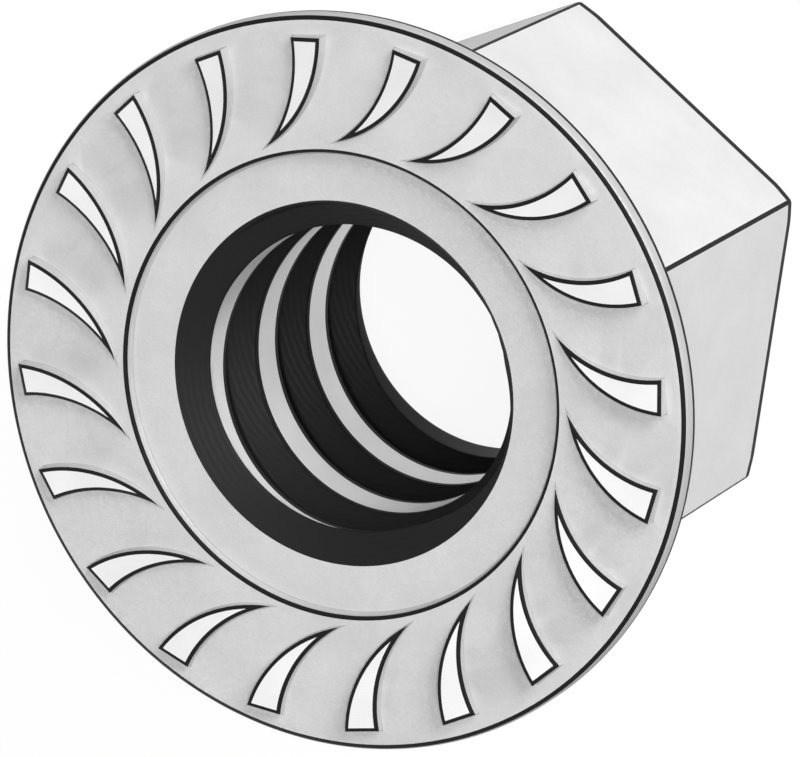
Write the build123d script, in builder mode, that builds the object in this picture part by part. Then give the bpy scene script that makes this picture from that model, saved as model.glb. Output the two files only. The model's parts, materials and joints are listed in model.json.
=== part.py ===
"""Serrated hexagon flange nut with a coarse coil thread, in millimetres.

The nut stands on the end of its hexagon, with the serrated bearing face of its flange up (+Z).
The origin is on the thread's axis, at the hexagon's end. It is one forged piece, so one solid.
"""

import os
from math import ceil, cos, pi, radians, tan

from build123d import *

# Hexagon
nut_height = 18.0  # from the hexagon's end to the bearing face
width_across_flats = 19.05
corner_chamfer_height = 0.32  # cut off each corner at the hexagon's end
corner_chamfer_angle = 30.0  # degrees from the end face

# Flange: a thin lip on a conical back
flange_diameter = 27.0
flange_lip = 0.8  # thickness at the rim
flange_back_slope = 22.0  # degrees from the bearing face
rim_radius = 0.3  # rounding of the rim's two edges

# Bearing face: a plain recessed ring lies between the thread's mouth and the teeth
relief_diameter = 17.0
relief_depth = 0.35

# Locking teeth, each a curved wedge that rises from a sharp inner tip to a straight outer end
tooth_count = 20
tooth_phase = 1.2  # degrees from a corner of the hexagon to the first tooth
tooth_width = 1.25  # along the outer end
tooth_rim_gap = 0.8  # from the outer end to the rim
tooth_tip_gap = 0.45  # from the inner tip to the recessed ring
tooth_sweep = 13.2  # degrees round the nut from the outer end to the inner tip
tooth_edge_radius = 5.0  # of both long edges, which curve the same way
tooth_tip_height = 0.06
tooth_leading_height = 0.25  # of the outer end, on the side that slides as the nut is tightened
tooth_locking_height = 0.5  # of the outer end, on the side that bites when the nut works loose

# Thread: one right-hand groove that fits 1/2 inch coil rod, six turns to the inch
thread_pitch = 25.4 / 6
thread_minor_diameter = 11.2
thread_start_height = 4.2  # of the groove's middle over the X axis, above the hexagon's end
groove_width = 2.4  # at the thread's crest
groove_depth = 0.95
groove_flank_angle = 30.0  # degrees that each flank leans from square to the axis
cutter_overlap = 0.5  # how far the groove's section starts inside the bore

# Countersinks: a shallow one in the recessed ring and a deep one to start the nut on its rod
ring_mouth_clearance = 0.15  # past the bottom of the groove
ring_mouth_angle = 120.0  # degrees, the whole angle
end_mouth_diameter = 16.4
end_mouth_angle = 60.0  # degrees, the whole angle

flange_radius = flange_diameter / 2
relief_radius = relief_diameter / 2
thread_minor_radius = thread_minor_diameter / 2

# One tooth, with the middle of its outer end over the X axis
outer_x = flange_radius - tooth_rim_gap
tip = Vector(relief_radius + tooth_tip_gap, 0).rotate(Axis.Z, tooth_sweep)
leading_corner = Vector(outer_x, tooth_width / 2)
locking_corner = Vector(outer_x, -tooth_width / 2)

face_height = Vector(0, 0, nut_height)
top_of_tip = tip + face_height + Vector(0, 0, tooth_tip_height)
top_of_leading_corner = leading_corner + face_height + Vector(0, 0, tooth_leading_height)
top_of_locking_corner = locking_corner + face_height + Vector(0, 0, tooth_locking_height)
tooth_top = Plane(
    origin=top_of_tip,
    z_dir=(top_of_locking_corner - top_of_tip).cross(top_of_leading_corner - top_of_tip),
)

with BuildPart() as tooth:
    with BuildSketch(Plane.XY.offset(nut_height)):
        with BuildLine():
            Line(leading_corner, locking_corner)
            RadiusArc(tip, leading_corner, -tooth_edge_radius)
            RadiusArc(tip, locking_corner, -tooth_edge_radius)
        make_face()
    extrude(amount=tooth_locking_height)
    split(bisect_by=tooth_top, keep=Keep.BOTTOM)

# One turn of the thread's groove, from the X axis round to the X axis
flank_slope = tan(radians(groove_flank_angle))
groove_mouth_half = groove_width / 2 + cutter_overlap * flank_slope
groove_root_half = groove_width / 2 - groove_depth * flank_slope

with BuildPart() as groove_turn:
    with BuildLine() as groove_path:
        turn = Helix(pitch=thread_pitch, height=thread_pitch, radius=thread_minor_radius)
    with BuildSketch(Plane(origin=turn @ 0, x_dir=(1, 0, 0), z_dir=turn % 0)):
        with BuildLine():
            Polyline(
                (-cutter_overlap, groove_mouth_half),
                (groove_depth, groove_root_half),
                (groove_depth, -groove_root_half),
                (-cutter_overlap, -groove_mouth_half),
                close=True,
            )
        make_face()
    sweep(path=groove_path.line, is_frenet=True)

with BuildPart() as flange_nut:
    # Hexagon, turned down at its end so that only the corners are chamfered
    with BuildSketch():
        RegularPolygon(radius=width_across_flats / 2, side_count=6, major_radius=False)
    extrude(amount=nut_height - flange_lip)
    corner_radius = width_across_flats / 2 / cos(pi / 6)
    end_radius = corner_radius - corner_chamfer_height / tan(radians(corner_chamfer_angle))
    with BuildSketch(Plane.XZ):
        with BuildLine():
            Polyline(
                (0, 0),
                (end_radius, 0),
                (corner_radius, corner_chamfer_height),
                (corner_radius, nut_height),
                (0, nut_height),
                close=True,
            )
        make_face()
    revolve(axis=Axis.Z, mode=Mode.INTERSECT)

    # Flange
    back_fall = flange_radius * tan(radians(flange_back_slope))
    with BuildSketch(Plane.XZ):
        with BuildLine():
            flange_outline = FilletPolyline(
                (0, nut_height),
                (flange_radius, nut_height),
                (flange_radius, nut_height - flange_lip),
                (0, nut_height - flange_lip - back_fall),
                radius=rim_radius,
            )
            Line(flange_outline @ 1, flange_outline @ 0)
        make_face()
    revolve(axis=Axis.Z)

    # Recessed ring, then the bore with a countersink at each end
    with BuildSketch(Plane.XY.offset(nut_height - relief_depth)):
        Circle(relief_radius)
    extrude(amount=relief_depth, mode=Mode.SUBTRACT)
    with Locations((0, 0, nut_height - relief_depth)):
        CounterSinkHole(
            radius=thread_minor_radius,
            counter_sink_radius=thread_minor_radius + groove_depth + ring_mouth_clearance,
            counter_sink_angle=ring_mouth_angle,
        )
    with Locations(Location((0, 0, 0), (180, 0, 0))):
        CounterSinkHole(
            radius=thread_minor_radius,
            counter_sink_radius=end_mouth_diameter / 2,
            counter_sink_angle=end_mouth_angle,
        )

    # Thread, turn after turn from below the nut to above its face
    turns_below = ceil(thread_start_height / thread_pitch) + 1
    turns_above = ceil((nut_height - thread_start_height) / thread_pitch)
    turn_heights = [
        thread_start_height + number * thread_pitch for number in range(-turns_below, turns_above)
    ]
    with Locations([(0, 0, height) for height in turn_heights]):
        add(groove_turn.part, mode=Mode.SUBTRACT)

    with PolarLocations(radius=0, count=tooth_count, start_angle=tooth_phase):
        add(tooth.part)

flange_nut.part.label = "flange_nut"

os.makedirs("parts", exist_ok=True)
export_step(flange_nut.part, "parts/flange_nut.step")
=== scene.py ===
"""Serrated flange nut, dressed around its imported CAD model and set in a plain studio.

The nut is rebuilt here as one fine mesh that stands for the CAD node: every edge is rounded, the
teeth have a filleted foot, and the thread's groove runs out through both countersinks. Each face of
the mesh has one of six finishes. Sizes are in metres, in the CAD model's own frame: the nut stands
on its hexagon at the origin, with the teeth up (+Z) and a corner of the hexagon over +X.
"""

import json
from math import acos, atan2, ceil, cos, floor, pi, radians, sin, sqrt, tan

import bmesh
import bpy
from bpy.props import FloatProperty, FloatVectorProperty, IntProperty, PointerProperty
from mathutils import Matrix, Quaternion, Vector
from mathutils.geometry import delaunay_2d_cdt


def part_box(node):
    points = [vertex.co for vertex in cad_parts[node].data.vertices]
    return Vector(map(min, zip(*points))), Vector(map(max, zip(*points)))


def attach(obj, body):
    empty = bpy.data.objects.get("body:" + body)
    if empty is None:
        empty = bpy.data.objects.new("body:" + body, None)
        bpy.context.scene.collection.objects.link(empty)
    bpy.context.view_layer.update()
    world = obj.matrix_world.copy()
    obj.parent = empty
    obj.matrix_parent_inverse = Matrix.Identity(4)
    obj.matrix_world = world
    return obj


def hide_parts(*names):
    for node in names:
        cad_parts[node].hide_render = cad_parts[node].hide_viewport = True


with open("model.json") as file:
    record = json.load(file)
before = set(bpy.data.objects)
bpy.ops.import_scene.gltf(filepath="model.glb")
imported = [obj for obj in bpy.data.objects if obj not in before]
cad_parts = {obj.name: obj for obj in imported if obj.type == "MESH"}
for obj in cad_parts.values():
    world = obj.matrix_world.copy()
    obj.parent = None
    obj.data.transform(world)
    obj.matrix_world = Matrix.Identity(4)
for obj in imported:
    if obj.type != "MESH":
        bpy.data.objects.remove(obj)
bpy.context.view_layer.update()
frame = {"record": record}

bl_info = {
    "name": "Serrated Flange Nut",
    "version": (1, 0, 0),
    "blender": (4, 5, 0),
    "location": "3D View > Sidebar > Flange Nut",
    "description": "Builds a serrated flange nut and a plain studio to show it in",
    "category": "Add Mesh",
}

MM = 0.001
NODE = "flange_nut"

# Faces of the mesh across a rounded edge, across one of a tooth or of the groove, and along and
# across a tooth's top
ARC_STEPS = 4
FINE_ARC_STEPS = 3
TOOTH_STEPS = 16
TOOTH_ACROSS = 4
# Vertices beside a long edge of the hexagon, in halves of the width of its dark line
CORNER_STEPS = (0.5, 1, 1.5, 2)
# Rounding where the crest meets a countersink, for each unit of the rounding of other edges
BLEND_SHARE = 0.6
# Pitches that one turn of the bore's strip reaches below its start and above it
TURN_BELOW = 0.5
TURN_ABOVE = 1.5
# Parts of its height that a tooth's roundings take near its tip, where it is lower than they are
FOOT_SHARE = 0.4
TOP_SHARE = 0.5
# Least height of a tooth's top, for each unit of the height of its tip
LEAST_SHARE = 1 / 3
# Vertices nearer to each other than this are one, and edges shorter than the second are none
WELD = 0.0003 * MM
SHORTEST_EDGE = 0.0001 * MM
# Distance in millimetres at which the bearing face's triangles take two points for one
SAME_POINT = 1e-6
# Edges between faces that turn more than this stay sharp
SHARP = radians(38)

# Patterns of the finishes: flakes and clouds in the coat, and the marks that tools leave
FLAKE = 0.08 * MM
CLOUD = 2.5 * MM
TOOL_MARK = 0.12 * MM
BUMP = 0.01 * MM
# How much smoother the steel is along a tool's lines than between them
MARK_ROUGHNESS = 0.1

# Name, azimuth and elevation in degrees, distance and width in metres, and watts
LAMPS = (
    ("key_lamp", 20, 20, 0.35, 0.2, 1.2),
    ("front_lamp", 0, 61, 0.5, 0.15, 1.05),
    ("back_lamp", 200, 8, 0.4, 0.25, 0.9),
)
# Point that every lamp faces
LAMP_AIM = Vector((0, 0, 0.012))
# Strength of the world as a lamp and of the floor's own white, and the share of that white in the
# floor where it is looked at
WORLD_LIGHT = 0.22
FLOOR_GLOW = 1.3
FLOOR_GLOW_SHARE = 0.7
# Half of the floor's side
FLOOR_REACH = 3.0
# The floor stays clear of the nut's end face
FLOOR_LEVEL = -0.02 * MM
WHITE = (1, 1, 1, 1)

# Numbers of a mix node's sockets: its two colours, and the colour it gives
COLOUR_A = 6
COLOUR_B = 7
MIXED = 2

node_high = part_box(NODE)[1]
mounts = {mount["name"]: mount for mount in frame["record"]["mounts"]}


def linear(hex_colour):
    """Linear RGB of an sRGB colour written as six hex digits."""
    channels = [int(hex_colour[i : i + 2], 16) / 255 for i in (0, 2, 4)]
    return tuple(c / 12.92 if c <= 0.04045 else ((c + 0.055) / 1.055) ** 2.4 for c in channels)


def length(name, description, default):
    """A length property with the units of the scene."""
    return FloatProperty(
        name=name, description=description, default=default, min=0.0, precision=5, unit="LENGTH"
    )


def angle(name, description, default):
    """An angle property, given in degrees."""
    return FloatProperty(
        name=name, description=description, default=radians(default), subtype="ANGLE"
    )


def colour(name, description, default):
    """A colour property, given as sRGB hex."""
    return FloatVectorProperty(
        name=name,
        description=description,
        default=linear(default),
        subtype="COLOR",
        min=0.0,
        max=1.0,
    )


class NutSizes(bpy.types.PropertyGroup):
    """Sizes of the nut."""

    # Hexagon
    half_flats: length("Half Flats", "From the axis to a flat", mounts["spanner_flat"]["pos_m"][1])
    corner_rounding: length("Corner Rounding", "Radius of the long edges", 0.22 * MM)
    corner_line: length("Corner Line", "Width of the dark line on the long edges", 0.18 * MM)
    chamfer_height: length("Corner Chamfer", "Height cut off each corner at the end", 0.32 * MM)
    chamfer_angle: angle("Chamfer Angle", "Of the cut corners, from the end face", 30.0)
    end_break: length("End Break", "Break of the edges between end face and flats", 0.1 * MM)
    # Flange
    flange_radius: length("Flange Radius", "From the axis to the rim", node_high.x)
    face_height: length("Face Height", "Of the bearing face", mounts["bearing_face"]["pos_m"][2])
    lip: length("Lip", "Thickness of the flange at its rim", 0.8 * MM)
    back_slope: angle("Back Slope", "Of the flange's back, from the bearing face", 22.0)
    rim_rounding: length("Rim Rounding", "Radius of the rim's two edges", 0.22 * MM)
    root_fillet: length("Root Fillet", "Between hexagon and flange", 0.6 * MM)
    # Recessed ring and countersinks
    ring_radius: length("Ring Radius", "Outer radius of the recessed ring", 8.5 * MM)
    ring_depth: length("Ring Depth", "Below the bearing face", 0.35 * MM)
    mouth_radius: length("Mouth Radius", "Of the countersink in the ring", 6.7 * MM)
    mouth_angle: angle("Mouth Angle", "Whole angle of the countersink in the ring", 120.0)
    end_mouth_radius: length("End Mouth Radius", "Of the countersink at the end", 8.2 * MM)
    end_mouth_angle: angle("End Mouth Angle", "Whole angle of the countersink at the end", 60.0)
    # Thread
    pitch: length("Pitch", "Rise of the thread in one turn", 25.4 / 6 * MM)
    crest_radius: length("Crest Radius", "Of the bore", mounts["thread"]["dims"]["r_mm"] * MM)
    groove_start: length("Groove Start", "Height of the groove's middle over +X", 4.2 * MM)
    groove_width: length("Groove Width", "At the crest", 2.4 * MM)
    groove_depth: length("Groove Depth", "Below the crest", 0.95 * MM)
    flank_angle: angle("Flank Angle", "Of the groove's sides, from square to the axis", 30.0)
    crest_edge: length("Crest Edge", "Of the crest that isn't rubbed beside the groove", 0.25 * MM)
    # Teeth
    tooth_count: IntProperty(name="Teeth", description="Round the flange", default=20, min=3)
    tooth_phase: angle("Tooth Phase", "From a hexagon corner to the first tooth", 1.2)
    tooth_width: length("Tooth Width", "Along the outer end", 1.25 * MM)
    tooth_outer: length("Tooth Reach", "From the axis to the outer end", 12.7 * MM)
    tooth_inner: length("Tooth Tip Radius", "From the axis to the inner tip", 8.95 * MM)
    tooth_sweep: angle("Tooth Sweep", "Round the nut from outer end to tip", 13.2)
    tooth_bow: length("Tooth Bow", "Radius of both long edges", 5.0 * MM)
    tip_height: length("Tip Height", "Of a tooth at its tip", 0.06 * MM)
    leading_height: length("Leading Height", "Of the outer end, ramp side", 0.25 * MM)
    locking_height: length("Locking Height", "Of the outer end, biting side", 0.5 * MM)
    tooth_rounding: length("Tooth Rounding", "Of the edges round a tooth's top", 0.05 * MM)
    tooth_foot: length("Tooth Foot", "Fillet between tooth and bearing face", 0.05 * MM)
    edge_rounding: length("Edge Rounding", "Of the bore's and the ring's edges", 0.1 * MM)
    edge_line: length("Edge Line", "Width of the dark line along sharp edges", 0.14 * MM)
    end_line: length("End Line", "Height of the dark line round the hexagon's end", 0.35 * MM)
    rim_line: length("Rim Line", "Height of the dark line on the rim's lower edge", 0.28 * MM)
    ring_seam: length("Ring Seam", "Depth below the ring where the bore's mesh starts", 0.04 * MM)
    end_seam: length("End Seam", "Height over the end where the bore's mesh starts", 0.3 * MM)


class NutFinish(bpy.types.PropertyGroup):
    """Colours of the nut's surfaces."""

    coating: colour("Coating", "Zinc flake coating", "E0E0E0")
    coating_thin: colour("Thin Coating", "Where the coating is thinner", "CCCCCC")
    # The two lean colours are the coat painted greyer, as shade on small steep walls
    wall_shade: colour("Lean Coating", "Coating on small steep walls", "BCBCBC")
    wall_shade_thin: colour("Thin Lean Coating", "Where that is thinner", "ACACAC")
    edge: colour("Edge", "Dark steel along sharp edges", "121212")
    burnish: colour("Burnish", "Tooth tops, burnished bare", "E1E1E1")
    # The oiled colour is painted shade: the bore's groove, countersinks and unrubbed crests near
    # black
    bore_shade: colour("Oiled", "Cut steel of the groove, dark with oil", "161616")
    crest: colour("Crest", "Crest of the thread, rubbed bare", "F2F2F2")


class NutStudio(bpy.types.PropertyGroup):
    """Camera and floor."""

    camera_azimuth: angle("Azimuth", "Of the camera round the nut, from +X", 10.0)
    camera_tilt: angle("Tilt", "Of the line of sight, from the nut's axis", 29.1)
    camera_roll: angle("Roll", "Of the camera about its line of sight", -118.4)
    camera_distance: length("Distance", "From the camera to the point it looks at", 240 * MM)
    camera_lens: FloatProperty(
        name="Lens", description="Focal length", default=291.5, subtype="DISTANCE_CAMERA"
    )
    aim: FloatVectorProperty(
        name="Aim",
        description="Point the camera looks at",
        default=(-0.00244, -0.00124, 0.009),
        subtype="TRANSLATION",
    )
    floor_white: colour("Floor", "Painted floor", "A8A8A8")


# ---------------------------------------------------------------------------------------------
# Plane geometry
# ---------------------------------------------------------------------------------------------


def rounded(corners, radii, steps=ARC_STEPS):
    """Points along a polyline, with each inner corner turned into an arc of its radius. A corner
    with no radius stays one point."""
    points = [corners[0]]
    for before, corner, after, radius in zip(corners, corners[1:], corners[2:], radii):
        if not radius:
            points.append(corner)
            continue
        corner = Vector(corner)
        back = (Vector(before) - corner).normalized()
        on = (Vector(after) - corner).normalized()
        half = acos(max(-1.0, min(1.0, back.dot(on)))) / 2
        centre = corner + (back + on).normalized() * radius / sin(half)
        first = corner + back * radius / tan(half) - centre
        last = corner + on * radius / tan(half) - centre
        turn = atan2(first.x * last.y - first.y * last.x, first.dot(last))
        for step in range(steps + 1):
            points.append(tuple(centre + Matrix.Rotation(turn * step / steps, 2) @ first))
    points.append(corners[-1])
    return points


def larger(a, b, blend):
    """The larger of two radii, with the edge where they cross rounded over a length."""
    overlap = max(blend - abs(a - b), 0.0) / blend
    return max(a, b) + overlap * overlap * blend / 4


# ---------------------------------------------------------------------------------------------
# The nut's mesh
# ---------------------------------------------------------------------------------------------

# The fifth finish is cut steel painted near black, as shade in the bore and its countersinks
# The second finish is the coat painted greyer, as shade on small steep walls
COATED, WALL_SHADE, EDGE, BURNISHED, BORE_SHADE, RUBBED = range(6)


class Skin:
    """Vertices and faces of the nut as they are made, with each face's finish."""

    def __init__(self):
        self.points = []
        self.faces = []
        self.finishes = []

    def add(self, points):
        """Adds vertices and returns their numbers."""
        start = len(self.points)
        self.points.extend(points)
        return list(range(start, len(self.points)))

    def face(self, corners, finish):
        """Adds one face."""
        self.faces.append(corners)
        self.finishes.append(finish)

    def strip(self, first, second, finishes, closed=True):
        """Quads between two rows of as many vertices, with one finish or a list of them."""
        count = len(first) if closed else len(first) - 1
        if not isinstance(finishes, list):
            finishes = [finishes] * count
        for i, finish in zip(range(count), finishes, strict=True):
            j = (i + 1) % len(first)
            self.face((first[i], first[j], second[j], second[i]), finish)

    def turned(self, rows, azimuths, finishes):
        """Faces between rows of vertices round the axis, and returns the rows."""
        loops = []
        for row in rows:
            points = [Vector((r * cos(a), r * sin(a), z)) for (r, z), a in zip(row, azimuths)]
            loops.append(self.add(points))
        for first, second, finish in zip(loops[:-1], loops[1:], finishes, strict=True):
            self.strip(first, second, finish)
        return loops


def corner_radius(sizes):
    """From the axis to a sharp corner of the hexagon."""
    return sizes.half_flats / cos(pi / 6)


def line_angle(sizes):
    """Half the angle that the dark line on a long edge of the hexagon takes up."""
    return sizes.corner_line / 2 / corner_radius(sizes)


def off_corner(azimuth):
    """Angle to the nearest corner of the hexagon."""
    return abs((azimuth + pi / 6) % (pi / 3) - pi / 6)


def turn_azimuths(sizes):
    """Azimuths of one turn: whole degrees, and closer together at the hexagon's corners."""
    line = line_angle(sizes)
    turn = [radians(a) for a in range(360)]
    for corner in range(6):
        for step in CORNER_STEPS:
            turn += [(corner * pi / 3 + side * step * line) % (2 * pi) for side in (-1, 1)]
    return sorted(turn)


def hexagon_radius(sizes, azimuth):
    """From the axis to the hexagon's side, round its softened corner."""
    off = off_corner(azimuth)
    rounding = sizes.corner_rounding
    centre = (sizes.half_flats - rounding) / cos(pi / 6)
    touch = atan2(rounding * sin(pi / 6), centre + rounding * cos(pi / 6))
    if off >= touch:
        return sizes.half_flats / cos(pi / 6 - off)
    return centre * cos(off) + sqrt(rounding**2 - (centre * sin(off)) ** 2)


def outside_profile(sizes, azimuth):
    """Radius and height from inside the end's countersink to the bearing face's outer edge."""
    end_slope = tan(sizes.end_mouth_angle / 2)
    side = hexagon_radius(sizes, azimuth)
    end_radius = corner_radius(sizes) - sizes.chamfer_height / tan(sizes.chamfer_angle)
    end_edge = min(end_radius, side - sizes.end_break)
    side_start = max((side - end_radius) * tan(sizes.chamfer_angle), sizes.end_break)
    flange = sizes.flange_radius
    lip_height = sizes.face_height - sizes.lip
    root_height = lip_height - (flange - side) * tan(sizes.back_slope)
    corners = [
        (sizes.end_mouth_radius - sizes.end_seam * end_slope, sizes.end_seam),
        (sizes.end_mouth_radius, 0),
        (end_edge, 0),
        (side, side_start),
        (side, side_start + sizes.end_line),
        (side, root_height),
        (flange, lip_height),
        (flange, lip_height + sizes.rim_line),
        (flange, sizes.face_height),
        (flange - 2 * sizes.rim_rounding, sizes.face_height),
    ]
    small = sizes.end_break / 2
    rim = sizes.rim_rounding
    return rounded(
        corners, [sizes.edge_rounding, small, small, 0, sizes.root_fillet, rim, 0, rim]
    )


def outside_finishes(sizes, azimuths):
    """Finish of each strip of the outside: dark lines run along its sharp edges."""
    half_arc = ARC_STEPS // 2
    turn = zip(azimuths, azimuths[1:] + [azimuths[0] + 2 * pi])
    side = [EDGE if off_corner((a + b) / 2) < line_angle(sizes) else COATED for a, b in turn]
    return (
        # The end's countersink takes the bore's painted shade
        [BORE_SHADE] * (ARC_STEPS + 1)  # countersink and its edge
        + [COATED]  # end face
        # The end's broken edge and a dark band up the side, round the hexagon's foot next to the
        # floor
        + [EDGE] * (2 * ARC_STEPS + 2)  # broken edge and a line up the side
        + [side] * (ARC_STEPS + 1)  # side and fillet
        + [COATED]  # back
        + [EDGE] * (ARC_STEPS + 1)  # rim's lower edge and a line up the rim
        # The rim's side takes the coat painted greyer as shade
        + [WALL_SHADE] * (1 + half_arc)  # rim and half of its upper edge
        + [EDGE] * half_arc
        + [COATED]  # bearing face
    )


def ring_profile(sizes):
    """Radius and height from the bearing face's inner edge to inside the ring's countersink."""
    ring_height = sizes.face_height - sizes.ring_depth
    seam_height = ring_height - sizes.ring_seam
    mouth_slope = tan(sizes.mouth_angle / 2)
    corners = [
        (sizes.ring_radius + sizes.edge_line, sizes.face_height),
        (sizes.ring_radius, sizes.face_height),
        (sizes.ring_radius, ring_height),
        (sizes.mouth_radius, ring_height),
        (sizes.mouth_radius - sizes.ring_seam * mouth_slope, seam_height),
    ]
    return rounded(corners, [sizes.edge_rounding, sizes.edge_rounding, sizes.edge_rounding / 2])


RING_FINISHES = (
    [EDGE] * (ARC_STEPS + 1)  # edge of the step
    # The step and its foot take the coat painted greyer as shade
    + [WALL_SHADE] * (ARC_STEPS + 1)  # step and its foot
    + [COATED]  # ring
    # The ring's countersink takes the bore's painted shade
    + [BORE_SHADE] * (ARC_STEPS + 1)  # edge of the countersink
)


def groove_section(sizes):
    """Height from the groove's middle and radius, for one pitch of the thread."""
    edge = sizes.groove_width / 2
    root = edge - sizes.groove_depth * tan(sizes.flank_angle)
    crest = sizes.crest_radius
    depth = crest + sizes.groove_depth
    half = sizes.pitch / 2
    rubbed = edge + sizes.crest_edge
    flank = [(-half, crest), (-edge, crest), (-root, depth), (0, depth)]
    rise = rounded(flank, [sizes.edge_rounding, 2 * sizes.edge_rounding], steps=FINE_ARC_STEPS)
    on_crest = [(-half, crest), (-(half + rubbed) / 2, crest), (-rubbed, crest)]
    rise = on_crest + rise[1:]
    return rise + [(-height, radius) for height, radius in rise[-2::-1]]


def cone_radius(sizes, height):
    """Radius of the wider countersink at a height. Between the two it is less than the crest's."""
    from_ring = sizes.face_height - sizes.ring_depth - height
    ring_cone = sizes.mouth_radius - from_ring * tan(sizes.mouth_angle / 2)
    end_cone = sizes.end_mouth_radius - height * tan(sizes.end_mouth_angle / 2)
    return max(ring_cone, end_cone)


def groove_radius(section, off_middle):
    """Radius of the thread at a height from its groove's middle."""
    for (low, low_radius), (high, high_radius) in zip(section, section[1:]):
        if low <= off_middle <= high:
            share = (off_middle - low) / (high - low) if high > low else 0.0
            return low_radius + (high_radius - low_radius) * share
    return section[0][1]


def add_bore(skin, sizes, azimuths):
    """The threaded bore, as helical strips cut square where the crest meets each countersink, and
    where the rod starts to rub the crest."""
    blend = BLEND_SHARE * sizes.edge_rounding
    ring_slope = tan(sizes.mouth_angle / 2)
    end_slope = tan(sizes.end_mouth_angle / 2)
    ring_height = sizes.face_height - sizes.ring_depth
    ring_edge = ring_height - (sizes.mouth_radius - sizes.crest_radius) / ring_slope
    end_edge = (sizes.end_mouth_radius - sizes.crest_radius) / end_slope
    end_cuts = [end_edge + side * blend / end_slope for side in (-1, 0, 1)]
    ring_cuts = [ring_edge + side * blend / ring_slope for side in (-1, 0, 1)]
    rubbed_from = sizes.groove_start + sizes.pitch / 2
    cuts = [sizes.end_seam, *end_cuts, rubbed_from, *ring_cuts, ring_height - sizes.ring_seam]
    for low, high in zip(cuts, cuts[1:]):
        # Crests outside the rubbed part also take the bore's painted shade
        crest = RUBBED if low == rubbed_from else BORE_SHADE
        add_bore_part(skin, sizes, azimuths, blend, low, high, crest)


def add_bore_part(skin, sizes, azimuths, blend, low, high, crest):
    """The threaded bore between two heights, with its edges blended over a length."""
    section = groove_section(sizes)
    pitch = sizes.pitch
    rubbed = sizes.groove_width / 2 + sizes.crest_edge
    middles = [(a + b) / 2 for (a, _), (b, _) in zip(section, section[1:])]
    # The groove, and any crest that isn't rubbed, take the bore's painted shade
    finishes = [crest if abs(middle) > rubbed else BORE_SHADE for middle in middles]
    first_turn = floor((low - sizes.groove_start) / pitch - TURN_ABOVE)
    last_turn = ceil((high - sizes.groove_start) / pitch + TURN_BELOW)
    previous = None
    for turn in range(first_turn, last_turn + 1):
        for azimuth in azimuths:
            middle = sizes.groove_start + (turn + azimuth / (2 * pi)) * pitch
            points = []
            for height, radius in section:
                z = min(max(middle + height, low), high)
                if z != middle + height:
                    radius = groove_radius(section, (z - middle + pitch / 2) % pitch - pitch / 2)
                wall = larger(radius, cone_radius(sizes, z), blend)
                points.append(Vector((wall * cos(azimuth), wall * sin(azimuth), z)))
            row = skin.add(points)
            if previous:
                skin.strip(previous, row, finishes, closed=False)
            previous = row


def tooth_arcs(sizes):
    """Centres of the two arcs of the tooth whose outer end is over +X: locking, then leading."""
    tip = tooth_tip(sizes)
    centres = []
    for corner_y in (-sizes.tooth_width / 2, sizes.tooth_width / 2):
        corner = Vector((sizes.tooth_outer, corner_y))
        chord = corner - tip
        across = Vector((-chord.y, chord.x)).normalized()
        rise = sqrt(sizes.tooth_bow**2 - chord.length_squared / 4)
        centres.append((tip + corner) / 2 + across * rise)
    return centres


def tooth_tip(sizes):
    """The inner tip of the tooth whose outer end is over +X."""
    return Matrix.Rotation(sizes.tooth_sweep, 2) @ Vector((sizes.tooth_inner, 0))


def tooth_outline(sizes, inset):
    """One tooth seen from above, made smaller all round by an inset: its locking edge and its
    leading edge, both from the tip outward, and the points between them on the outer end."""
    end = sizes.tooth_outer - inset
    reaches = (sizes.tooth_bow - inset, sizes.tooth_bow + inset)
    centres = tooth_arcs(sizes)
    between = centres[1] - centres[0]
    gap = between.length
    along = (gap**2 + reaches[0] ** 2 - reaches[1] ** 2) / (2 * gap)
    axis = between / gap
    across = Vector((-axis.y, axis.x)) * sqrt(reaches[0] ** 2 - along**2)
    crossings = [centres[0] + axis * along + across * side for side in (-1, 1)]
    tip = min(crossings, key=lambda p: (p - tooth_tip(sizes)).length)
    edges = []
    for centre, reach in zip(centres, reaches):
        corner = Vector((end, centre.y - sqrt(reach**2 - (end - centre.x) ** 2)))
        first, last = tip - centre, corner - centre
        turn = atan2(first.x * last.y - first.y * last.x, first.dot(last))
        shares = [step / TOOTH_STEPS for step in range(TOOTH_STEPS + 1)]
        edges.append([centre + Matrix.Rotation(turn * share, 2) @ first for share in shares])
    locking, leading = edges
    outer = [locking[-1].lerp(leading[-1], j / TOOTH_ACROSS) for j in range(1, TOOTH_ACROSS)]
    return locking, outer, leading


def tooth_height(sizes, point):
    """Height of a tooth's sloping top over a point."""
    tip = tooth_tip(sizes)
    half = sizes.tooth_width / 2
    a = Vector((tip.x, tip.y, sizes.tip_height))
    b = Vector((sizes.tooth_outer, half, sizes.leading_height))
    c = Vector((sizes.tooth_outer, -half, sizes.locking_height))
    normal = (b - a).cross(c - a)
    height = a.z - (normal.x * (point.x - a.x) + normal.y * (point.y - a.y)) / normal.z
    return max(height, LEAST_SHARE * sizes.tip_height)


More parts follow.
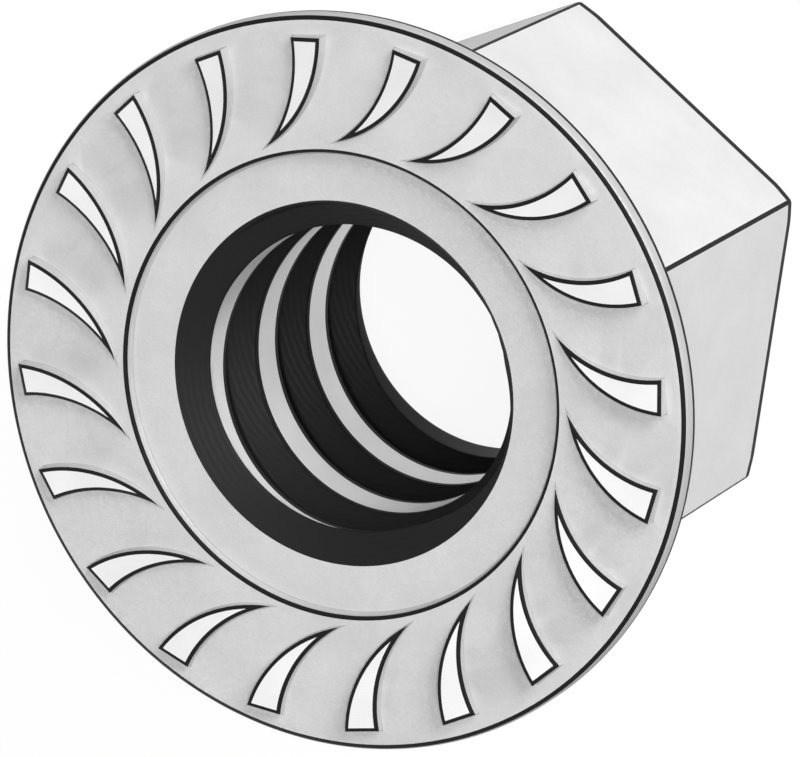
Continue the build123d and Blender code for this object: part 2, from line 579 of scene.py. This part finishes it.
def add_tooth(skin, sizes, azimuth):
    """One locking tooth, from its foot up. Returns its loop of vertices on the bearing face."""
    turn = Matrix.Rotation(azimuth, 3, "Z")

    def place(point, height):
        return turn @ Vector((point.x, point.y, sizes.face_height + height))

    def foot(point, share):
        return min(sizes.tooth_foot, FOOT_SHARE * tooth_height(sizes, point)) * share

    def top(point, share):
        height = tooth_height(sizes, point)
        return height - min(sizes.tooth_rounding, TOP_SHARE * height) * share

    quarter = [pi / 2 * step / FINE_ARC_STEPS for step in range(FINE_ARC_STEPS + 1)]
    levels = [(-sizes.tooth_foot * (1 - sin(a)), foot, 1 - cos(a)) for a in quarter]
    levels += [(sizes.tooth_rounding * (1 - cos(a)), top, 1 - sin(a)) for a in quarter]
    levels.append((sizes.edge_line, top, 0))
    loops = []
    for inset, height, share in levels:
        locking, outer, leading = tooth_outline(sizes, inset)
        outline = locking + outer + leading[:0:-1]
        loops.append(skin.add([place(point, height(point, share)) for point in outline]))
    # The tooth's foot and walls take the coat painted greyer as shade, and its top edge a dark line
    finishes = [WALL_SHADE] * (FINE_ARC_STEPS + 1) + [EDGE] * (FINE_ARC_STEPS + 1)
    for first, second, finish in zip(loops[:-1], loops[1:], finishes, strict=True):
        skin.strip(first, second, finish)

    last = loops[-1]
    corner = TOOTH_STEPS
    end = corner + TOOTH_ACROSS
    leading_loop = [last[0]] + last[: end - 1 : -1]
    previous = None
    for i in range(1, corner + 1):
        if i == corner:
            row = last[corner : end + 1]
        else:
            shares = [j / TOOTH_ACROSS for j in range(1, TOOTH_ACROSS)]
            inner = [locking[i].lerp(leading[i], share) for share in shares]
            row = [last[i], *skin.add([place(p, top(p, 0)) for p in inner]), leading_loop[i]]
        if previous:
            skin.strip(previous, row, BURNISHED, closed=False)
        else:
            for left, right in zip(row, row[1:]):
                skin.face((last[0], left, right), BURNISHED)
        previous = row
    return loops[0]


def add_bearing_face(skin, outer_loop, inner_loop, tooth_loops):
    """The flat face between the teeth, shared out in triangles."""
    loops = [outer_loop, inner_loop, *tooth_loops]
    ids = [i for loop in loops for i in loop]
    flat = [skin.points[i].xy / MM for i in ids]
    edges = []
    start = 0
    for loop in loops:
        count = len(loop)
        edges += [(start + i, start + (i + 1) % count) for i in range(count)]
        start += count
    over_hull = 0  # asks for triangles over the whole outline, holes included
    corners, _, triangles, originals, *_ = delaunay_2d_cdt(
        flat, edges, [], over_hull, SAME_POINT, True
    )
    outlines = [[skin.points[i].xy / MM for i in loop] for loop in [inner_loop, *tooth_loops]]
    for triangle in triangles:
        middle = sum((corners[i] for i in triangle), Vector((0, 0))) / 3
        if not any(near(middle, outline) and inside(middle, outline) for outline in outlines):
            skin.face(tuple(ids[originals[i][0]] for i in triangle), COATED)


def near(point, outline):
    """Whether a point may be inside an outline, going by its box."""
    xs = [p.x for p in outline]
    ys = [p.y for p in outline]
    return min(xs) <= point.x <= max(xs) and min(ys) <= point.y <= max(ys)


def inside(point, outline):
    """Whether a point is inside a closed outline."""
    within = False
    for a, b in zip(outline, outline[1:] + outline[:1]):
        if (a.y > point.y) != (b.y > point.y):
            if point.x < a.x + (b.x - a.x) * (point.y - a.y) / (b.y - a.y):
                within = not within
    return within


def nut_mesh(sizes):
    """The whole nut as one closed mesh."""
    skin = Skin()
    azimuths = turn_azimuths(sizes)
    outside = zip(*[outside_profile(sizes, azimuth) for azimuth in azimuths])
    outer_loop = skin.turned(outside, azimuths, outside_finishes(sizes, azimuths))[-1]
    ring = [[point] * len(azimuths) for point in ring_profile(sizes)]
    inner_loop = skin.turned(ring, azimuths, RING_FINISHES)[0]
    step = 2 * pi / sizes.tooth_count
    tooth_azimuths = [sizes.tooth_phase + number * step for number in range(sizes.tooth_count)]
    tooth_loops = [add_tooth(skin, sizes, azimuth) for azimuth in tooth_azimuths]
    add_bearing_face(skin, outer_loop, inner_loop, tooth_loops)
    add_bore(skin, sizes, azimuths)

    mesh = bpy.data.meshes.new("flange_nut_skin")
    mesh.from_pydata(skin.points, [], skin.faces)
    mesh.polygons.foreach_set("material_index", skin.finishes)
    work = bmesh.new()
    work.from_mesh(mesh)
    bmesh.ops.remove_doubles(work, verts=work.verts, dist=WELD)
    bmesh.ops.dissolve_degenerate(work, edges=work.edges, dist=SHORTEST_EDGE)
    bmesh.ops.recalc_face_normals(work, faces=work.faces)
    loose = sum(1 for edge in work.edges if len(edge.link_faces) != 2)
    work.to_mesh(mesh)
    work.free()
    if loose:
        raise RuntimeError(f"the nut's mesh has {loose} edges that don't join two faces")
    mesh.polygons.foreach_set("use_smooth", [True] * len(mesh.polygons))
    mesh.set_sharp_from_angle(angle=SHARP)
    return mesh


# ---------------------------------------------------------------------------------------------
# Finishes
# ---------------------------------------------------------------------------------------------


def add_node(tree, kind, settings=None, values=None, links=None):
    """Adds a node, with its own settings, values for its sockets and links into them."""
    node = tree.nodes.new(kind)
    for name, value in (settings or {}).items():
        setattr(node, name, value)
    for name, value in (values or {}).items():
        node.inputs[name].default_value = value
    for name, source in (links or {}).items():
        tree.links.new(source, node.inputs[name])
    return node


def new_material(name):
    """An empty material and its node tree."""
    material = bpy.data.materials.new(name)
    material.use_nodes = True
    material.node_tree.nodes.clear()
    return material, material.node_tree


def zinc_flake_coated(name, coating, coating_thin):
    """Forged steel, dip-spun in zinc flake paint and baked: an even, dull light grey with a faint
    cloudiness and a fine glitter where single flakes lie flat."""
    material, tree = new_material(name)
    place = add_node(tree, "ShaderNodeTexCoord").outputs["Object"]
    # Real flakes are about 0.02 mm across. They are drawn coarser here, so that they show.
    flakes = add_node(
        tree, "ShaderNodeTexVoronoi", values={"Scale": 1 / FLAKE}, links={"Vector": place}
    )
    clouds = add_node(
        tree,
        "ShaderNodeTexNoise",
        values={"Scale": 1 / CLOUD, "Detail": 3.0},
        links={"Vector": place},
    )
    coat = add_node(
        tree,
        "ShaderNodeMix",
        {"data_type": "RGBA"},
        {COLOUR_A: (*coating_thin, 1), COLOUR_B: (*coating, 1)},
        {0: clouds.outputs[0]},
    )
    tone = add_node(
        tree,
        "ShaderNodeMapRange",
        values={"To Min": 0.94, "To Max": 1.0},
        links={"Value": flakes.outputs["Color"]},
    )
    base = add_node(
        tree,
        "ShaderNodeVectorMath",
        {"operation": "SCALE"},
        links={0: coat.outputs[MIXED], "Scale": tone.outputs[0]},
    )
    glitter = add_node(
        tree,
        "ShaderNodeMapRange",
        values={"From Min": 0.5, "From Max": 0.75, "To Max": 0.2},
        links={"Value": flakes.outputs["Color"]},
    )
    rough = add_node(
        tree,
        "ShaderNodeMapRange",
        values={"To Min": 0.42, "To Max": 0.58},
        links={"Value": clouds.outputs[0]},
    )
    bump = add_node(
        tree,
        "ShaderNodeBump",
        values={"Strength": 0.35, "Distance": BUMP},
        links={"Height": flakes.outputs["Distance"]},
    )
    shader = add_node(
        tree,
        "ShaderNodeBsdfPrincipled",
        values={"Specular IOR Level": 0.3},
        links={
            "Base Color": base.outputs[0],
            "Metallic": glitter.outputs[0],
            "Roughness": rough.outputs[0],
            "Normal": bump.outputs[0],
        },
    )
    add_node(tree, "ShaderNodeOutputMaterial", links={"Surface": shader.outputs[0]})
    return material


def zinc_flake_coated_steel(finish):
    """The coat where it lies full, over the faces and the hexagon."""
    return zinc_flake_coated("zinc_flake_coated_steel", finish.coating, finish.coating_thin)


def lean_coated_steel(finish):
    """The coat on small steep walls, in greyer colours: painted shade that damps the light they
    catch.
    """
    return zinc_flake_coated("lean_coated_steel", finish.wall_shade, finish.wall_shade_thin)


def baked_edge_steel(finish):
    """Sharp edges, from which the coat drew back as it was baked: a fine line of dark scale, dull
    and a little uneven. The same finish makes a dark band round the hexagon's foot."""
    material, tree = new_material("baked_edge_steel")
    place = add_node(tree, "ShaderNodeTexCoord").outputs["Object"]
    grain = add_node(
        tree, "ShaderNodeTexNoise", values={"Scale": 1 / TOOL_MARK}, links={"Vector": place}
    )
    base = add_node(
        tree,
        "ShaderNodeMix",
        {"data_type": "RGBA"},
        # Mixed with the near-black colour of the bore's painted shade, for unevenness
        {COLOUR_A: (*finish.edge, 1), COLOUR_B: (*finish.bore_shade, 1)},
        {0: grain.outputs[0]},
    )
    rough = add_node(
        tree,
        "ShaderNodeMapRange",
        values={"To Min": 0.45, "To Max": 0.65},
        links={"Value": grain.outputs[0]},
    )
    bump = add_node(
        tree,
        "ShaderNodeBump",
        values={"Strength": 0.3, "Distance": BUMP},
        links={"Height": grain.outputs[0]},
    )
    shader = add_node(
        tree,
        "ShaderNodeBsdfPrincipled",
        values={"Specular IOR Level": 0.12},
        links={
            "Base Color": base.outputs[MIXED],
            "Roughness": rough.outputs[0],
            "Normal": bump.outputs[0],
        },
    )
    add_node(tree, "ShaderNodeOutputMaterial", links={"Surface": shader.outputs[0]})
    return material


def tool_marked_steel(name, tint, marks, metallic, specular, roughest):
    """Steel with the fine, uneven lines round the nut's axis that turning and rubbing leave. Its
    marks are rings over a flat face, or bands up a bore."""
    material, tree = new_material(name)
    place = add_node(tree, "ShaderNodeTexCoord").outputs["Object"]
    # At a scale of 1 the lines lie pi / 10 of a metre apart
    lines = add_node(
        tree,
        "ShaderNodeTexWave",
        marks,
        {"Scale": pi / 10 / TOOL_MARK, "Distortion": 2.0, "Detail": 2.0},
        {"Vector": place},
    )
    clouds = add_node(
        tree, "ShaderNodeTexNoise", values={"Scale": 1 / CLOUD}, links={"Vector": place}
    )
    tone = add_node(
        tree,
        "ShaderNodeMapRange",
        values={"To Min": 0.9, "To Max": 1.1},
        links={"Value": clouds.outputs[0]},
    )
    base = add_node(
        tree,
        "ShaderNodeVectorMath",
        {"operation": "SCALE"},
        {0: tint},
        {"Scale": tone.outputs[0]},
    )
    rough = add_node(
        tree,
        "ShaderNodeMapRange",
        values={"To Min": roughest - MARK_ROUGHNESS, "To Max": roughest},
        links={"Value": lines.outputs["Fac"]},
    )
    bump = add_node(
        tree,
        "ShaderNodeBump",
        values={"Strength": 0.12, "Distance": BUMP},
        links={"Height": lines.outputs["Fac"]},
    )
    shader = add_node(
        tree,
        "ShaderNodeBsdfPrincipled",
        values={"Metallic": metallic, "Specular IOR Level": specular},
        links={
            "Base Color": base.outputs[0],
            "Roughness": rough.outputs[0],
            "Normal": bump.outputs[0],
        },
    )
    add_node(tree, "ShaderNodeOutputMaterial", links={"Surface": shader.outputs[0]})
    return material


RINGS = {"wave_type": "RINGS", "rings_direction": "Z"}
BANDS = {"wave_type": "BANDS", "bands_direction": "Z"}


def burnished_steel(finish):
    """Tooth tops whose coat was rubbed off on the clamped face: bare bright steel."""
    return tool_marked_steel("burnished_steel", finish.burnish, RINGS, 0.5, 0.5, 0.68)


def oiled_tapped_steel(finish):
    """Groove and countersinks, cut after coating, and painted near black as the bore's shade."""
    return tool_marked_steel("oiled_tapped_steel", finish.bore_shade, BANDS, 0.0, 0.15, 0.6)


def rubbed_crest_steel(finish):
    """Crest of the thread, which the rod has rubbed bright."""
    return tool_marked_steel("rubbed_crest_steel", finish.crest, BANDS, 0.7, 0.5, 0.5)


# In the order of the finish numbers: coat, coat painted greyer as wall shade, dark edge,
# burnished tops, steel painted near black as bore shade, and rubbed crest
FINISHES = (
    zinc_flake_coated_steel,
    lean_coated_steel,
    baked_edge_steel,
    burnished_steel,
    oiled_tapped_steel,
    rubbed_crest_steel,
)


def seen(tree):
    """One where a ray comes from the camera, or from it by way of a mirror or glass."""
    path = add_node(tree, "ShaderNodeLightPath").outputs
    direct = add_node(
        tree,
        "ShaderNodeMath",
        {"operation": "MAXIMUM"},
        links={0: path["Is Camera Ray"], 1: path["Is Glossy Ray"]},
    )
    either = add_node(
        tree,
        "ShaderNodeMath",
        {"operation": "MAXIMUM"},
        links={0: direct.outputs[0], 1: path["Is Transmission Ray"]},
    )
    return either.outputs[0]


def painted_floor(studio):
    """Matt floor paint that takes the nut's shadow, lifted to white where it is looked at."""
    material, tree = new_material("painted_floor")
    paint = add_node(tree, "ShaderNodeBsdfDiffuse", values={"Color": (*studio.floor_white, 1)})
    glow = add_node(tree, "ShaderNodeEmission", values={"Color": WHITE, "Strength": FLOOR_GLOW})
    share = add_node(
        tree,
        "ShaderNodeMath",
        {"operation": "MULTIPLY"},
        {1: FLOOR_GLOW_SHARE},
        {0: seen(tree)},
    )
    mix = add_node(
        tree,
        "ShaderNodeMixShader",
        links={0: share.outputs[0], 1: paint.outputs[0], 2: glow.outputs[0]},
    )
    add_node(tree, "ShaderNodeOutputMaterial", links={"Surface": mix.outputs[0]})
    return material


# ---------------------------------------------------------------------------------------------
# Operators
# ---------------------------------------------------------------------------------------------


class OBJECT_OT_flange_nut_add(bpy.types.Operator):
    """Add the nut, in place of its CAD node"""

    bl_idname = "object.flange_nut_add"
    bl_label = "Add Flange Nut"

    def execute(self, context):
        sizes = context.scene.nut_sizes
        finish = context.scene.nut_finish
        nut = bpy.data.objects.new("coated_flange_nut", nut_mesh(sizes))
        context.collection.objects.link(nut)
        for make in FINISHES:
            nut.data.materials.append(make(finish))
        weight = nut.modifiers.new("face_weighted_normals", "WEIGHTED_NORMAL")
        weight.keep_sharp = True
        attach(nut, "root")
        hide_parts(NODE)
        return {"FINISHED"}


class SCENE_OT_nut_studio_add(bpy.types.Operator):
    """Add the floor, the lamps, the world and the camera"""

    bl_idname = "scene.nut_studio_add"
    bl_label = "Add Studio"

    def execute(self, context):
        studio = context.scene.nut_studio
        scene = context.scene
        scene.view_settings.view_transform = "Standard"

        mesh = bpy.data.meshes.new("studio_floor")
        x, z = FLOOR_REACH, FLOOR_LEVEL
        mesh.from_pydata([(-x, -x, z), (x, -x, z), (x, x, z), (-x, x, z)], [], [(0, 1, 2, 3)])
        floor_plane = bpy.data.objects.new("studio_floor", mesh)
        context.collection.objects.link(floor_plane)
        mesh.materials.append(painted_floor(studio))

        scene.world = bpy.data.worlds.new("studio_world")
        scene.world.use_nodes = True
        tree = scene.world.node_tree
        tree.nodes.clear()
        dim = add_node(tree, "ShaderNodeBackground", values={"Strength": WORLD_LIGHT})
        white = add_node(tree, "ShaderNodeBackground", values={"Strength": 1.0})
        for background in (dim, white):
            background.inputs["Color"].default_value = WHITE
        mix = add_node(
            tree,
            "ShaderNodeMixShader",
            links={0: seen(tree), 1: dim.outputs[0], 2: white.outputs[0]},
        )
        add_node(tree, "ShaderNodeOutputWorld", links={"Surface": mix.outputs[0]})

        for name, azimuth, elevation, distance, width, power in LAMPS:
            lamp = bpy.data.lights.new(name, "AREA")
            lamp.size = width
            lamp.energy = power
            lamp_object = bpy.data.objects.new(name, lamp)
            context.collection.objects.link(lamp_object)
            a, e = radians(azimuth), radians(elevation)
            away = Vector((cos(a) * cos(e), sin(a) * cos(e), sin(e)))
            lamp_object.location = LAMP_AIM + away * distance
            lamp_object.rotation_euler = away.to_track_quat("Z", "Y").to_euler()

        lens = bpy.data.cameras.new("studio_camera")
        lens.sensor_width = 36.0
        lens.lens = studio.camera_lens
        lens.clip_start = 0.01
        lens.clip_end = 20.0
        camera = bpy.data.objects.new("studio_camera", lens)
        context.collection.objects.link(camera)
        a, tilt = studio.camera_azimuth, studio.camera_tilt
        back = Vector((cos(a) * sin(tilt), sin(a) * sin(tilt), cos(tilt)))
        camera.rotation_mode = "QUATERNION"
        upright = back.to_track_quat("Z", "Y")
        camera.rotation_quaternion = upright @ Quaternion((0, 0, 1), studio.camera_roll)
        camera.location = Vector(studio.aim) + back * studio.camera_distance
        scene.camera = camera
        return {"FINISHED"}


class VIEW3D_PT_flange_nut(bpy.types.Panel):
    """Sizes, colours and buttons for the nut"""

    bl_label = "Flange Nut"
    bl_idname = "VIEW3D_PT_flange_nut"
    bl_space_type = "VIEW_3D"
    bl_region_type = "UI"
    bl_category = "Flange Nut"

    def draw(self, context):
        layout = self.layout
        for group in (context.scene.nut_sizes, context.scene.nut_finish, context.scene.nut_studio):
            column = layout.column(align=True)
            for name in group.bl_rna.properties.keys():
                if name not in {"rna_type", "name"}:
                    column.prop(group, name)
        layout.operator(OBJECT_OT_flange_nut_add.bl_idname)
        layout.operator(SCENE_OT_nut_studio_add.bl_idname)


classes = (
    NutSizes,
    NutFinish,
    NutStudio,
    OBJECT_OT_flange_nut_add,
    SCENE_OT_nut_studio_add,
    VIEW3D_PT_flange_nut,
)


def register():
    for cls in classes:
        bpy.utils.register_class(cls)
    bpy.types.Scene.nut_sizes = PointerProperty(type=NutSizes)
    bpy.types.Scene.nut_finish = PointerProperty(type=NutFinish)
    bpy.types.Scene.nut_studio = PointerProperty(type=NutStudio)


def unregister():
    del bpy.types.Scene.nut_studio
    del bpy.types.Scene.nut_finish
    del bpy.types.Scene.nut_sizes
    for cls in reversed(classes):
        bpy.utils.unregister_class(cls)


def main():
    register()
    bpy.ops.object.flange_nut_add()
    bpy.ops.scene.nut_studio_add()


if __name__ == "__main__":
    main()
